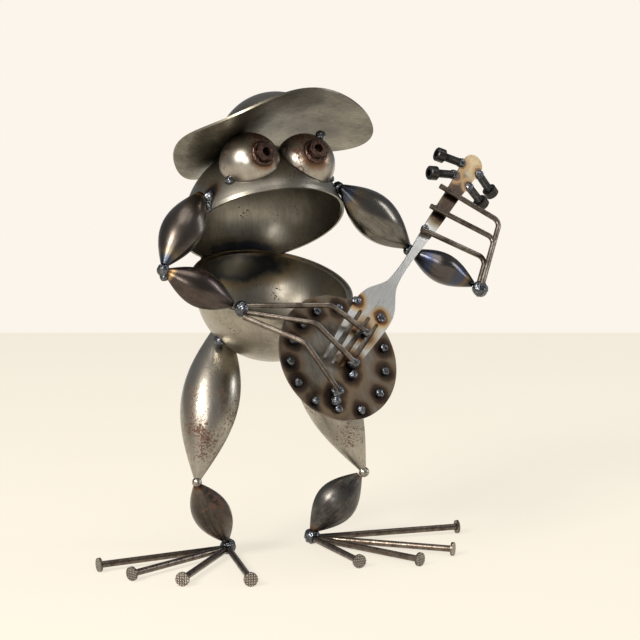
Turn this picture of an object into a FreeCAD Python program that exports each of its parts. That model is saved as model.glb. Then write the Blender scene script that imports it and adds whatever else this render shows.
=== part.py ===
"""Welded scrap-steel frog that plays a banjo, as a parametric FreeCAD document.

Frame: +Z up, the frog looks along -Y, its left hand is on the +X side. The origin lies on the floor under
the middle of the whole figure. Millimetres.
"""
import FreeCAD, Part
import math
import os
import Sketcher

from FreeCAD import Placement, Rotation, Vector

doc = FreeCAD.newDocument("scrap_frog")

# ---------------------------------------------------------------- driving dimensions
SIZES = {
    "stand_x": -21.64,         # from the origin to the frog's middle plane
    "stand_y": 11.396,          # from the origin to the middle of the body bowl
    "sheet_wall": 1.2,
    "head_radius": 46.4,
    "body_radius": 44.8,
    "rim_radius": 47.0,
    "rim_band": 2.4,
    "eye_radius": 17.4,
    "eye_offset": 43.4,        # from the head's centre to an eye's centre
    "nut_flats": 10.0,
    "nut_bore": 5.0,
    "nut_thick": 5.0,
    "brim_radius": 57.2,
    "crown_radius": 34.0,
    "crown_depth": 20.0,
    "thigh_wide": 34.4,
    "right_shin_wide": 24.0,
    "left_shin_wide": 26.0,
    "right_upper_arm_wide": 26.0,
    "left_upper_arm_wide": 28.0,
    "forearm_wide": 21.6,
    "plump": 0.82,             # a limb's thickness over its width
    "limb_neck": 4.4,          # width of a limb's pinched end
    "nail_shank": 3.8,
    "nail_head": 8.0,
    "nail_head_thick": 1.5,
    "rod": 3.2,
    "disc_radius": 36.8,
    "disc_thick": 1.6,
    "dot_radius": 2.5,
    "fork_thick": 1.8,
    "slot_wide": 2.2,
    "screw_thread": 4.9,
    "screw_long": 12.0,
    "screw_head": 8.5,
    "screw_head_long": 5.0,
    "screw_key": 4.0,
}

sheet = doc.addObject("Spreadsheet::Sheet", "sizes")
for row, (alias, value) in enumerate(SIZES.items(), start=1):
    sheet.set(f"A{row}", alias)
    sheet.set(f"B{row}", str(value))
    sheet.setAlias(f"B{row}", alias)
doc.recompute()


def size(alias):
    """One driving dimension, read back from the sheet."""
    return float(sheet.get(alias))


STAND = Vector(size("stand_x"), size("stand_y"), 0)
WALL = size("sheet_wall")
nodes = {}


def frog(x, y, z):
    """A point given from the frog's middle plane, its body's centre line and the floor."""
    return Vector(x, y, z) + STAND


def unit(vector):
    result = Vector(vector)
    result.normalize()
    return result


def turned(z_axis):
    """A rotation that carries +Z to z_axis, with +X kept near the row's +X, or +Z on a sideways axis."""
    z_axis = unit(z_axis)
    x_hint = Vector(1, 0, 0) if abs(z_axis.x) < 0.9 else Vector(0, 0, 1)
    y_axis = unit(z_axis.cross(x_hint))
    return Rotation(y_axis.cross(z_axis), y_axis, z_axis, "ZXY")


def make(kind, name, place=None, **values):
    """A document object; a text value is an expression on the sheet, and place its placement."""
    made = doc.addObject(kind, name)
    for prop, value in values.items():
        if isinstance(value, str):
            made.setExpression(prop, value)
        else:
            setattr(made, prop, value)
    if place is not None:
        made.Placement = place
    return made


def keep(name, made):
    """Marks an object as the sub-part called name."""
    made.Label = name
    nodes[name] = made
    return made


def feature(name, shape):
    """A sub-part whose shape is worked out here; it keeps the placement that its shape has."""
    made = doc.addObject("Part::Feature", name)
    made.Shape = shape
    made.Placement = shape.Placement
    return keep(name, made)


def ball(centre, radius):
    return Part.makeSphere(radius, centre)


def without(shape, tools):
    for tool in tools:
        shape = shape.cut(tool)
    return shape


# ---------------------------------------------------------------- head and body bowls
# Each bowl is a pressed half-ball with a low band round its rim. It opens along its own +Z.
BODY = frog(0, 0, 157)
HEAD = frog(-3, 4, 190.5)
BODY_OPENS = Vector(0.0, -0.342, 0.940)
HEAD_OPENS = Vector(-0.03, -0.5225, -0.852)


def bowl(name, place, radius):
    """Half-ball shell with a rim band: the outer and inner half-balls and the band's two cylinders."""
    outer = make("Part::Sphere", name + "_outer", place, Radius=f"sizes.{radius}", Angle1=-90, Angle2=0)
    inner = make("Part::Sphere", name + "_inner", place, Radius=f"sizes.{radius} - sizes.sheet_wall",
                 Angle1=-90, Angle2=0)
    drop = place.multiply(Placement(Vector(0, 0, -size("rim_band")), Rotation()))
    step = place.multiply(Placement(Vector(0, 0, WALL - size("rim_band")), Rotation()))
    band = make("Part::Cylinder", name + "_band", drop, Radius="sizes.rim_radius", Height="sizes.rim_band")
    mouth = make("Part::Cylinder", name + "_mouth", step, Radius="sizes.rim_radius - sizes.sheet_wall",
                 Height="sizes.rim_band")
    solid = make("Part::Fuse", name + "_solid", Base=outer, Tool=band)
    hollow = make("Part::Fuse", name + "_hollow", Base=inner, Tool=mouth)
    return make("Part::Cut", name, Base=solid, Tool=hollow), solid


body_place = Placement(BODY, turned(BODY_OPENS))
head_place = Placement(HEAD, turned(HEAD_OPENS))
body_bowl, body_solid = bowl("body_bowl", body_place, "body_radius")
head_shell, head_solid = bowl("head_shell", head_place, "head_radius")
keep("body_bowl", body_bowl)
# the head is cut away at the back, where it sits on the body's rim
keep("head_bowl", make("Part::Cut", "head_bowl", Base=head_shell, Tool=body_solid))
doc.recompute()

# ---------------------------------------------------------------- eyes
# Two half-ball caps stand on the head with their cut rims on it; the left one is ground to clear the right.
eye_out = {"right": unit(Vector(-0.383, -0.358, 0.852)), "left": unit(Vector(0.383, -0.412, 0.826))}
eye_centre = {side: HEAD + out * size("eye_offset") for side, out in eye_out.items()}


def eye_cap(side):
    place = Placement(eye_centre[side], turned(eye_out[side]))
    name = f"eye_{side}"
    outer = make("Part::Sphere", name + "_outer", place, Radius="sizes.eye_radius", Angle1=0, Angle2=90)
    inner = make("Part::Sphere", name + "_inner", place, Radius="sizes.eye_radius - sizes.sheet_wall",
                 Angle1=0, Angle2=90)
    cap = make("Part::Cut", name + "_cap", Base=outer, Tool=inner)
    return cap, outer


right_cap, right_eye = eye_cap("right")
left_cap, left_eye = eye_cap("left")
keep("eye_right", make("Part::Cut", "eye_right", Base=right_cap, Tool=head_solid))
left_clear = make("Part::Cut", "eye_left_clear", Base=left_cap, Tool=head_solid)
eye_ball = make("Part::Sphere", "eye_right_ball", Placement(eye_centre["right"], Rotation()),
                Radius="sizes.eye_radius + 0.05")
keep("eye_left", make("Part::Cut", "eye_left", Base=left_clear, Tool=eye_ball))


def nut(side, gaze):
    """A hexagon nut drawn as a sketch and padded, set on the eye along gaze."""
    body = doc.addObject("PartDesign::Body", f"pupil_nut_{side}")
    base = next(plane for plane in body.Origin.OriginFeatures if plane.Role == "XY_Plane")
    sketch = body.newObject("Sketcher::SketchObject", f"nut_{side}_outline")
    sketch.AttachmentSupport = [(base, "")]
    sketch.MapMode = "FlatFace"
    corner = size("nut_flats") / math.sqrt(3)
    corners = [Vector(corner * math.cos(math.radians(60 * i)), corner * math.sin(math.radians(60 * i)), 0)
               for i in range(6)]
    for start, end in zip(corners, corners[1:] + corners[:1]):
        sketch.addGeometry(Part.LineSegment(start, end))
    bore = sketch.addGeometry(Part.Circle(Vector(0, 0, 0), Vector(0, 0, 1), size("nut_bore") / 2))
    ring = sketch.addConstraint(Sketcher.Constraint("Radius", bore, size("nut_bore") / 2))
    sketch.setExpression(f"Constraints[{ring}]", "sizes.nut_bore / 2")
    pad = body.newObject("PartDesign::Pad", f"nut_{side}_pad")
    pad.Profile = sketch
    pad.setExpression("Length", "sizes.nut_thick")
    body.Tip = pad
    body.Placement = Placement(eye_centre[side] + gaze * (size("eye_radius") - 0.4), turned(gaze))
    return body


gazes = {"right": unit(Vector(0.017, -0.933, 0.359)), "left": unit(Vector(-0.043, -0.886, 0.462))}
nut_bodies = {side: nut(side, gaze) for side, gaze in gazes.items()}
doc.recompute()
for side, made in nut_bodies.items():
    eye_round = right_eye if side == "right" else left_eye
    # each nut is filed hollow underneath to sit on its eye
    keep(f"pupil_nut_{side}", make("Part::Cut", f"pupil_nut_{side}_seated", Base=made, Tool=eye_round))

# ---------------------------------------------------------------- hat
HAT = frog(-2.1, 2, 245.8)
hat_place = Placement(HAT, Rotation(Vector(0, 1, 0), -12.3).multiply(Rotation(Vector(1, 0, 0), -24.4)))
BRIM = size("brim_radius")


def brim_height(x, y):
    """How far the bent brim stands off its flat plane: it droops on its left and curls on its right."""
    u, v = x / BRIM, y / BRIM
    return BRIM * (-0.35 * u**2 + 0.086 * u * v - 0.238 * u**3 + 0.176 * u**4)


def brim_sheet():
    """The bent sheet as a spline surface, thickened and cut round."""
    reach = 1.12 * BRIM
    marks = [reach * (i / 5 - 1) for i in range(11)]
    grid = [[Vector(x, y, brim_height(x, y)) for y in marks] for x in marks]
    surface = Part.BSplineSurface()
    surface.interpolate(grid)
    slab = surface.toShape().makeOffsetShape(WALL, 0.01, fill=True)
    # the cut is a little narrower across the bend, as a bent disc is
    cutter = Part.makeCylinder(BRIM, 4 * BRIM, Vector(0, 0, -2 * BRIM))
    narrow = FreeCAD.Matrix()
    narrow.scale(0.985, 1, 1)
    return slab.common(cutter.transformGeometry(narrow))


brim_shape = brim_sheet()
if brim_shape.Volume < 0:
    brim_shape.reverse()
brim = doc.addObject("Part::Feature", "hat_brim")
brim.Shape = brim_shape.Solids[0]
brim.Placement = hat_place
keep("hat_brim", brim)

crown_drop = size("crown_radius") - size("crown_depth")
crown_place = hat_place.multiply(Placement(Vector(0, 0, -crown_drop), Rotation()))
crown_outer = Part.makeSphere(size("crown_radius"))
crown_inner = Part.makeSphere(size("crown_radius") - WALL)
above = Part.makeBox(90, 90, 60, Vector(-45, -45, crown_drop - 8))
crown_shape = crown_outer.cut(crown_inner).common(above)
crown_shape.Placement = crown_place
brim_under = brim_shape.Solids[0].copy()
brim_under.Placement = hat_place
# the crown stands on the brim: what would pass through or under the sheet is ground off
crown_parts = crown_shape.cut(brim_under).Solids
hat_axis = hat_place.Rotation.multVec(Vector(0, 0, 1))
feature("hat_crown", max(crown_parts, key=lambda part: part.CenterOfMass.dot(hat_axis)))

# ---------------------------------------------------------------- limbs
# Each limb is two pressed almond shells welded edge to edge, with pinched ends.
STATIONS = (0.0, 0.07, 0.17, 0.32, 0.5, 0.68, 0.83, 0.93, 1.0)


def limb_section(half_width, half_depth, along):
    """The outline of one half: a chord on the seam plane and an arc over it."""
    left, right = Vector(-half_width, 0, along), Vector(half_width, 0, along)
    over = Part.Arc(left, Vector(0, half_depth, along), right)
    return Part.Wire([over.toShape(), Part.LineSegment(right, left).toShape()])


def limb_half(long, wide, inset):
    """One half of a limb, solid, with its walls moved in by inset."""
    neck = size("limb_neck") / 2
    plump = size("plump")
    sections = []
    for share in STATIONS:
        swell = math.sin(math.pi * share)
        half_width = neck + (wide / 2 - neck) * swell - inset
        half_depth = plump * (neck + (wide / 2 - neck) * swell) - inset
        along = inset + share * (long - 2 * inset)
        sections.append(limb_section(half_width, half_depth, along))
    return Part.makeLoft(sections, True, False)


limb_solids = {}


def limb(name, start, end, wide, faces):
    """Two half shells from start to end; faces is the outward direction of the front half."""
    axis = end - start
    long = axis.Length
    half = limb_half(long, wide, 0).cut(limb_half(long, wide, WALL))
    whole = limb_half(long, wide, 0)
    across = unit(faces.cross(axis))
    outward = unit(axis.cross(across))
    spin = Rotation(across, outward, unit(axis), "ZXY")
    back_turn = Rotation(Vector(0, 0, 1), 180)
    halves = {}
    solids = []
    for half_name, turn in (("front", Rotation()), ("back", back_turn)):
        place = Placement(start, spin.multiply(turn))
        shell = half.copy()
        shell.Placement = place
        halves[half_name] = shell
        block = whole.copy()
        block.Placement = place
        solids.append(block)
    limb_solids[name] = solids
    return halves


KNEE = {"right": frog(-53.3, -10, 48), "left": frog(55.2, -10, 42.7)}
HIP = {"right": frog(-22, 19.5, 137), "left": frog(22, 19.5, 137)}
HEEL = {"right": frog(-28.5, 1.2, 7.5), "left": frog(25.8, -0.5, 7.5)}
SHOULDER = {"right": frog(-46.8, -6.0, 211.5), "left": frog(30.0, -22.6, 213.2)}
ELBOW = {"right": frog(-79.6, -26, 171.9), "left": frog(77, -24, 174.9)}
WRIST = {"right": frog(-39.6, -33.5, 150.6), "left": frog(113.4, -39.2, 153.6)}
gap = 2.0   # left between the ends of two limbs that meet in a weld

limb_plan = [
    # name, start, end, width, the way its front half faces, how far it sits off the line between its joints
    ("right_thigh", HIP["right"], KNEE["right"], "thigh_wide", Vector(-0.61, -0.78, 0.14), Vector()),
    ("left_thigh", HIP["left"], KNEE["left"], "thigh_wide", Vector(-0.74, -0.66, 0.13), Vector()),
    ("right_shin", KNEE["right"], HEEL["right"], "right_shin_wide", Vector(-0.79, -0.59, 0.13),
     Vector(-0.9, 0, 0)),
    ("left_shin", KNEE["left"], HEEL["left"], "left_shin_wide", Vector(-0.05, -0.99, 0.13), Vector(-1.6, 0, 0)),
    ("right_upper_arm", SHOULDER["right"], ELBOW["right"], "right_upper_arm_wide", Vector(-0.85, -0.52, 0.10),
     Vector(-0.2, 0, 1.2)),
    ("left_upper_arm", SHOULDER["left"], ELBOW["left"], "left_upper_arm_wide", Vector(-0.07, -0.86, 0.48),
     Vector(1.0, 0, 1.2)),
    ("right_forearm", ELBOW["right"], WRIST["right"], "forearm_wide", Vector(-0.40, -0.80, 0.45), Vector()),
    ("left_forearm", ELBOW["left"], WRIST["left"], "forearm_wide", Vector(0.60, 0.09, 0.80), Vector()),
]
head_filled = head_solid.Shape
body_filled = body_solid.Shape
for name, start, end, wide, faces, aside in limb_plan:
    axis = unit(end - start)
    trim = body_filled if "thigh" in name else head_filled
    halves = limb(name, start + axis * gap + aside, end - axis * gap + aside, size(wide), faces)
    for half_name, shell in halves.items():
        if "thigh" in name or "upper_arm" in name:
            # the top end is cut to lie on the bowl that it is welded to
            shell = max(shell.cut(trim).Solids, key=lambda part: part.Volume)
        feature(f"{name}_{half_name}", shell)

# ---------------------------------------------------------------- feet
# Four flat-headed nails fan out from each heel; each is ground to lie against the one before it.
nail_tips = {
    "right": [(-109.2, 2.0), (-100.2, -24.3), (-79.9, -47.8), (-46.8, -66.1)],
    "left": [(116.6, -17.4), (86.1, -61.9), (57.1, -73.0), (24.4, -60.6)],
}
heel_floor = {"right": frog(-28.5, 2.0, size("nail_head") / 2), "left": frog(25.8, 0.3, size("nail_head") / 2)}
nail_shapes = []
for side, tips in nail_tips.items():
    before = []
    for number, (x, y) in enumerate(tips, start=1):
        head_end = frog(x, y, size("nail_head") / 2)
        axis = unit(head_end - heel_floor[side])
        name = f"{side}_toe_nail_{number}"
        place = Placement(heel_floor[side] + axis * 3, turned(axis))
        long = (head_end - heel_floor[side]).Length - 3
        shank = make("Part::Cylinder", name + "_shank", place, Radius="sizes.nail_shank / 2", Height=long)
        cap_place = Placement(head_end - axis * size("nail_head_thick"), turned(axis))
        cap = make("Part::Cylinder", name + "_cap", cap_place, Radius="sizes.nail_head / 2",
                   Height="sizes.nail_head_thick")
        nail = make("Part::Fuse", name + "_whole", Base=shank, Tool=cap)
        if before:
            others = make("Part::Compound", name + "_others", Links=list(before))
            ground = make("Part::Cut", name + "_ground", Base=nail, Tool=others)
        else:
            ground = nail
        before.append(nail)
        keep(name, ground)
doc.recompute()

# ---------------------------------------------------------------- banjo: disc and fork
# The drum is a flat disc; the neck is a table fork laid on it with its tines towards the middle.
DRUM = frog(11, -60, 122)
DRUM_OUT = unit(Vector(0.0614, -0.8829, 0.4655))
NECK_ALONG = unit(Vector(0.7345, 0.3557, 0.5779))
NECK_ACROSS = unit(DRUM_OUT.cross(NECK_ALONG))
banjo_turn = Rotation(NECK_ALONG, NECK_ACROSS, DRUM_OUT, "ZXY")


def banjo(along, across, out):
    """A point on the banjo: along the neck, across it and out from the drum's front face."""
    return DRUM + NECK_ALONG * along + NECK_ACROSS * across + DRUM_OUT * out


drum_place = Placement(banjo(0, 0, -size("disc_thick")), banjo_turn)
keep("banjo_drum", make("Part::Cylinder", "banjo_drum", drum_place, Radius="sizes.disc_radius",
                        Height="sizes.disc_thick"))

# half the fork's width at stations along it, from the tine tips to the paddle
fork_edge = [(-10, 9.0), (14, 10.8), (31, 12.0), (40, 12.0), (46, 10.9), (53, 7.4), (60, 3.8), (67, 2.5),
             (82, 2.1), (96, 2.9), (117, 4.1), (145, 4.8), (163, 5.9), (171, 6.1)]
FORK_SET = Placement(Vector(0, -1.1, 0.02), Rotation(Vector(0, 0, 1), 0.74))   # how it lies on the drum
SLOT_ROOT = 32.0


def fork_outline():
    """The fork's flat outline with a round paddle end and three tapering slots."""
    upper = [Vector(along, half, 0) for along, half in fork_edge]
    lower = [Vector(along, -half, 0) for along, half in reversed(fork_edge)]
    side_up, side_down = Part.BSplineCurve(), Part.BSplineCurve()
    side_up.interpolate(upper)
    side_down.interpolate(lower)
    end = Part.Arc(upper[-1], Vector(177.3, 0, 0), lower[0])
    tips = Part.LineSegment(lower[-1], upper[0])
    return Part.Face(Part.Wire([side_up.toShape(), end.toShape(), side_down.toShape(), tips.toShape()]))


def fork_slot(root_across, tip_across):
    """A slot between two tines: it widens towards the tips and has a round root."""
    half = size("slot_wide") / 2
    wide = 2.0 * half
    corners = [Vector(-12, tip_across - wide, -9), Vector(-12, tip_across + wide, -9),
               Vector(SLOT_ROOT, root_across + half, -9), Vector(SLOT_ROOT, root_across - half, -9)]
    strip = Part.Face(Part.makePolygon(corners + corners[:1])).extrude(Vector(0, 0, 30))
    return strip.fuse(Part.makeCylinder(half, 30, Vector(SLOT_ROOT, root_across, -9)))


def fork_side():
    """The fork seen from the side: a band of even thickness, gently arched over head and handle."""
    thick = size("fork_thick")
    under = [(-9, 0.0), (12, 0.5), (36, 0.0), (60, 0.6), (90, 1.0), (130, 0.6), (180, -0.6)]
    low, high = Part.BSplineCurve(), Part.BSplineCurve()
    low.interpolate([Vector(along, -20, height) for along, height in under])
    high.interpolate([Vector(along, -20, height + thick) for along, height in under])
    low_start, low_end = low.getPoles()[0], low.getPoles()[-1]
    high_start, high_end = high.getPoles()[0], high.getPoles()[-1]
    band = Part.Wire([low.toShape(), Part.LineSegment(low_end, high_end).toShape(),
                      high.toShape(), Part.LineSegment(high_start, low_start).toShape()])
    return Part.Face(band).extrude(Vector(0, 40, 0))


def fork_shape():
    block = fork_outline().extrude(Vector(0, 0, 20))
    block.translate(Vector(0, 0, -5))
    fork = block.common(fork_side())
    for root, tip in ((6.1, 5.4), (0.0, 0.0), (-6.1, -5.4)):
        fork = fork.cut(fork_slot(root, tip))
    # the outermost tines on the low side are worn shorter
    worn = [Vector(-14, 12, -9), Vector(-8, 12, -9), Vector(-7, 0, -9), Vector(-2, -6, -9), Vector(9, -14, -9),
            Vector(-14, -14, -9)]
    fork = fork.cut(Part.Face(Part.makePolygon(worn + worn[:1])).extrude(Vector(0, 0, 30)))
    fork.Placement = FORK_SET
    return fork.Solids[0]


fork_neck = doc.addObject("Part::Feature", "banjo_neck_fork")
fork_neck.Shape = fork_shape()
fork_neck.Placement = Placement(DRUM, banjo_turn).multiply(FORK_SET)
keep("banjo_neck_fork", fork_neck)
fork_solid = fork_neck.Shape
doc.recompute()
drum_solid = nodes["banjo_drum"].Shape

# ---------------------------------------------------------------- tuning screws
# Four socket-head cap screws are welded by their tips to the edges of the paddle.
screw_plan = [((165.0, 8.0), (-6.4, 12.7), 0), ((154.0, 7.6), (-10.6, 11.4), 0),
              ((167.8, -5.9), (1.7, -12.2), -0.48), ((155.2, -5.2), (2.8, -12.4), -0.48)]


def cap_screw(number, tip, axis):
    """A screw turned about its axis from its tip: a revolved sketch, then a hexagon socket."""
    body = doc.addObject("PartDesign::Body", f"tuning_screw_{number}")
    planes = {plane.Role: plane for plane in body.Origin.OriginFeatures}
    profile = body.newObject("Sketcher::SketchObject", f"screw_{number}_profile")
    profile.AttachmentSupport = [(planes["XZ_Plane"], "")]
    profile.MapMode = "FlatFace"
    thread, long = size("screw_thread") / 2, size("screw_long")
    head, top = size("screw_head") / 2, long + size("screw_head_long")
    points = [(0, 0), (thread - 0.6, 0), (thread, 0.6), (thread, long), (head, long), (head, top - 0.5),
              (head - 0.5, top), (0, top)]
    corners = [Vector(x, y, 0) for x, y in points]
    for start, end in zip(corners, corners[1:] + corners[:1]):
        profile.addGeometry(Part.LineSegment(start, end))
    turned_body = body.newObject("PartDesign::Revolution", f"screw_{number}_turned")
    turned_body.Profile = profile
    turned_body.ReferenceAxis = (profile, ["V_Axis"])
    turned_body.Angle = 360
    socket = body.newObject("Sketcher::SketchObject", f"screw_{number}_key")
    socket.AttachmentSupport = [(planes["XY_Plane"], "")]
    socket.MapMode = "FlatFace"
    socket.AttachmentOffset = Placement(Vector(0, 0, top), Rotation())
    corner = size("screw_key") / math.sqrt(3)
    hexagon = [Vector(corner * math.cos(math.radians(60 * i)), corner * math.sin(math.radians(60 * i)), 0)
               for i in range(6)]
    for start, end in zip(hexagon, hexagon[1:] + hexagon[:1]):
        socket.addGeometry(Part.LineSegment(start, end))
    pocket = body.newObject("PartDesign::Pocket", f"screw_{number}_socket")
    pocket.Profile = socket
    pocket.setExpression("Length", "sizes.screw_head_long / 2")
    body.Tip = pocket
    body.Placement = Placement(tip, turned(axis))
    return keep(f"tuning_screw_{number}", body)


screw_tips = []
for number, ((along, across), (run, rise), lean) in enumerate(screw_plan, start=1):
    direction = unit(NECK_ALONG * run + NECK_ACROSS * rise)
    axis = unit(direction + DRUM_OUT * lean)
    tip = banjo(along, across, size("fork_thick") / 2)
    screw_tips.append((tip, direction))
    cap_screw(number, tip, axis)

# ---------------------------------------------------------------- finger rods
# Round bar, bent cold. The right hand's three reach from the wrist over the drum; the left hand's three
# lie across the neck and run down to the knuckle.


def bent_rod(name, points, corner):
    """A round bar along straight runs joined by a tangent arc of radius corner at each inner point."""
    edges = []
    start = points[0]
    for before, here, after in zip(points, points[1:], points[2:]):
        into, out = unit(here - before), unit(after - here)
        turn = into.getAngle(out)
        setback = corner * math.tan(turn / 2)
        arc_start, arc_end = here - into * setback, here + out * setback
        middle_way = unit(out - into)
        centre = here + middle_way * (corner / math.cos(turn / 2))
        edges.append(Part.LineSegment(start, arc_start).toShape())
        edges.append(Part.Arc(arc_start, centre - middle_way * corner, arc_end).toShape())
        start = arc_end
    edges.append(Part.LineSegment(start, points[-1]).toShape())
    path = Part.Wire(edges)
    ring = Part.Wire([Part.Circle(points[0], points[1] - points[0], size("rod") / 2).toShape()])
    return path.makePipeShell([ring], True, True)


BEND = 7.0
right_rods = {
    "right_finger_rod_1": [frog(-35.6, -38.4, 150.9), frog(7.3, -57.5, 151.1), frog(29.0, -57.0, 135.4)],
    "right_finger_rod_2": [frog(-35.8, -40.6, 147.6), frog(-4.3, -61.8, 142.3), frog(16.6, -65.6, 120.6)],
    "right_finger_rod_3": [frog(-38.4, -41.4, 145.4), frog(-13.1, -66.7, 132.5), frog(2.6, -73.8, 106.9)],
}
rod_out = size("fork_thick") + size("rod") / 2 + 0.9
KNUCKLE_ALONG, KNUCKLE_ACROSS = 100.0, -44.4
# the three run down side by side, touching: one in the middle, one before it and one behind it
left_rods = {
    "left_finger_rod_1": [banjo(137.9, 10.4, rod_out), banjo(148.6, -31.6, rod_out),
                          banjo(101.0, -44.8, rod_out)],
    "left_finger_rod_2": [banjo(121.5, 8.2, rod_out), banjo(133.6, -34.1, rod_out + 2.8),
                          banjo(101.0, -43.1, rod_out + 2.8)],
    "left_finger_rod_3": [banjo(103.4, 4.6, rod_out + 0.7), banjo(122.6, -38.0, rod_out - 3.15),
                          banjo(101.0, -44.0, rod_out - 3.15)],
}
left_solids = []
for name, points in right_rods.items():
    feature(name, bent_rod(name, points, BEND))
for name, points in left_rods.items():
    # a rod is ground where it would run into the one outside it
    rod = without(bent_rod(name, points, 4.5), left_solids)
    rod = max(rod.Solids, key=lambda part: part.Volume)
    left_solids.append(rod)
    feature(name, rod)

# ---------------------------------------------------------------- weld beads
# A bead is a blob of weld metal. It is cut away where its neighbours already are.
doc.recompute()
taken = [head_filled, body_filled, fork_solid, drum_solid]
taken += [block for solids in limb_solids.values() for block in solids]
for name, made in nodes.items():
    if "rod" in name or "nail" in name or "screw" in name or "hat" in name or "nut" in name:
        taken.append(made.Shape)
taken += [ball(centre, size("eye_radius")) for centre in eye_centre.values()]


def beads(name, blobs):
    """A node of weld beads: each is a ball (centre, radius), squashed along an axis if one is given."""
    kept = []
    for centre, radius, *squash in blobs:
        blob = ball(Vector(), radius)
        if squash:
            axis, share = squash
            flat = FreeCAD.Matrix()
            flat.scale(1, 1, share)
            blob = blob.transformGeometry(flat)
            blob.Placement = Placement(centre, turned(axis))
        else:
            blob.translate(centre)
        near = [tool for tool in taken if tool.BoundBox.intersect(blob.BoundBox)]
        left_over = without(blob, near).Solids
        if not left_over:
            raise RuntimeError(f"{name}: nothing is left of the bead at {centre - STAND}")
        solid = max(left_over, key=lambda part: part.Volume)
        if solid.Volume > blob.Volume:
            raise RuntimeError(f"{name}: the cut bead at {centre - STAND} came out bigger than the whole one")
        kept.append(solid)
    for solid in kept:
        taken.append(solid)
    return feature(name, Part.makeCompound(kept))


def on_head(direction, lift):
    return HEAD + unit(direction) * (size("head_radius") + lift)


# the head's rim rests on the back of the body: a row of beads along the rim there
rim_turns = [math.radians(angle) for angle in (-118, -108, -99, -90, -81, -72, -62)]
beads("neck_weld", [(head_place.multVec(Vector(46.6 * math.cos(turn), 46.6 * math.sin(turn), 0.8)), 2.6)
                    for turn in rim_turns])
beads("hip_welds", [(BODY + unit(Vector(side * 32.5, 3.5, -31.5)) * (size("body_radius") + 0.2), 3.6)
                    for side in (-1, 1)])
beads("knee_welds", [(KNEE["right"], 2.9), (KNEE["left"], 3.2)])
# the ankle beads reach the floor, so that the heels stand on it
ANKLE = 5.0
beads("ankle_welds", [(Vector(spot.x, spot.y, ANKLE), ANKLE) for spot in heel_floor.values()])
beads("shoulder_welds", [(on_head(Vector(-41.0, -13.1, 18.9), 0.3), 3.9),
                         (on_head(Vector(-42.4, -15.0, 13.6), 0.3), 3.2),
                         (on_head(Vector(37.6, -18.7, 21.1), 0.6), 4.2)])
beads("elbow_welds", [(ELBOW["right"], 3.6), (ELBOW["right"] + Vector(0.6, -0.4, -3.4), 2.8),
                      (ELBOW["left"], 3.6)])
beads("wrist_welds", [(WRIST["right"] + Vector(2.2, -3.4, -1.4), 4.6),
                      (banjo(KNUCKLE_ALONG, KNUCKLE_ACROSS, rod_out), 4.8)])
beads("hat_welds", [(frog(-30.6, -5.8, 241.4), 2.6), (frog(21.6, -18.0, 242.6), 3.0)])


def on_eye_foot(side, angle):
    """A point on the ring where an eye stands on the head; 90 degrees is its back."""
    place = Placement(HEAD + eye_out[side] * 43.0, turned(eye_out[side]))
    turn = math.radians(angle)
    return place.multVec(Vector(size("eye_radius") * math.cos(turn), size("eye_radius") * math.sin(turn), 0))


beads("eye_welds", [(on_eye_foot("right", 205), 3.2), (on_eye_foot("right", 100), 2.8),
                    (on_eye_foot("left", -20), 2.8), (on_eye_foot("left", 80), 2.8)])


def collar(name, side):
    """A ring of weld round the foot of a nut."""
    gaze = gazes[side]
    ring = Part.makeTorus(5.6, 1.9, eye_centre[side] + gaze * (size("eye_radius") - 0.2), gaze)
    near = [tool for tool in taken if tool.BoundBox.intersect(ring.BoundBox)]
    return max(without(ring, near).Solids, key=lambda part: part.Volume)


feature("nut_welds", Part.makeCompound([collar("nut_weld", side) for side in gazes]))

# the dots are set by eye round the drum, so neither their pitch nor their distance from its middle is even
dot_plan = ((34, 29.7), (63, 28.3), (90, 27.6), (115, 29.2), (139, 31.8), (161, 32.6), (186, 32.5), (212, 31.0),
            (238, 32.3), (269, 30.4), (297, 29.2), (324, 30.6))
dots = []
for angle, circle in dot_plan:
    turn = math.radians(angle)
    dots.append((banjo(circle * math.cos(turn), circle * math.sin(turn), 0.9), size("dot_radius"), DRUM_OUT, 0.8))
beads("drum_dots", dots)
beads("fingertip_welds", [(banjo(22.6, -3.6, 3.2), 2.9), (banjo(1.9, -7.8, 2.8), 3.5), (banjo(-3.4, -12.0, 1.0), 2.9),
                          (banjo(-18.8, -9.8, 2.0), 3.8), (banjo(-23.8, -12.6, 0.9), 3.1)])
beads("neck_plug_welds", [(banjo(36.0, 10.6, 1.0), 2.9),
                          (banjo(38.2, -6.6, 2.2), 2.8, DRUM_OUT, 0.5)])
beads("screw_welds", [(tip - direction * 0.4, 3.1) for tip, direction in screw_tips])
beads("fret_welds", [(banjo(106.6, 3.2, 3.4), 2.4), (banjo(123.6, 4.2, 3.4), 2.2), (banjo(140.0, 5.2, 3.4), 2.2)])
doc.recompute()

# ---------------------------------------------------------------- checks and export
for made in doc.Objects:
    if "Invalid" in made.State or "Error" in made.State:
        raise RuntimeError(f"{made.Name} failed: {made.State}")
for name, made in nodes.items():
    shape = made.Shape
    if shape.isNull() or not shape.isValid() or not shape.Solids:
        raise RuntimeError(f"{name} has no valid solid")
    made.Label = name

os.makedirs("parts", exist_ok=True)
for name, made in nodes.items():
    made.Shape.exportStep(f"parts/{name}.step")
    print(f"{name}: {len(made.Shape.Solids)} solid(s), {made.Shape.Volume / 1000:.2f} cm3")
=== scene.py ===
import math

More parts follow.
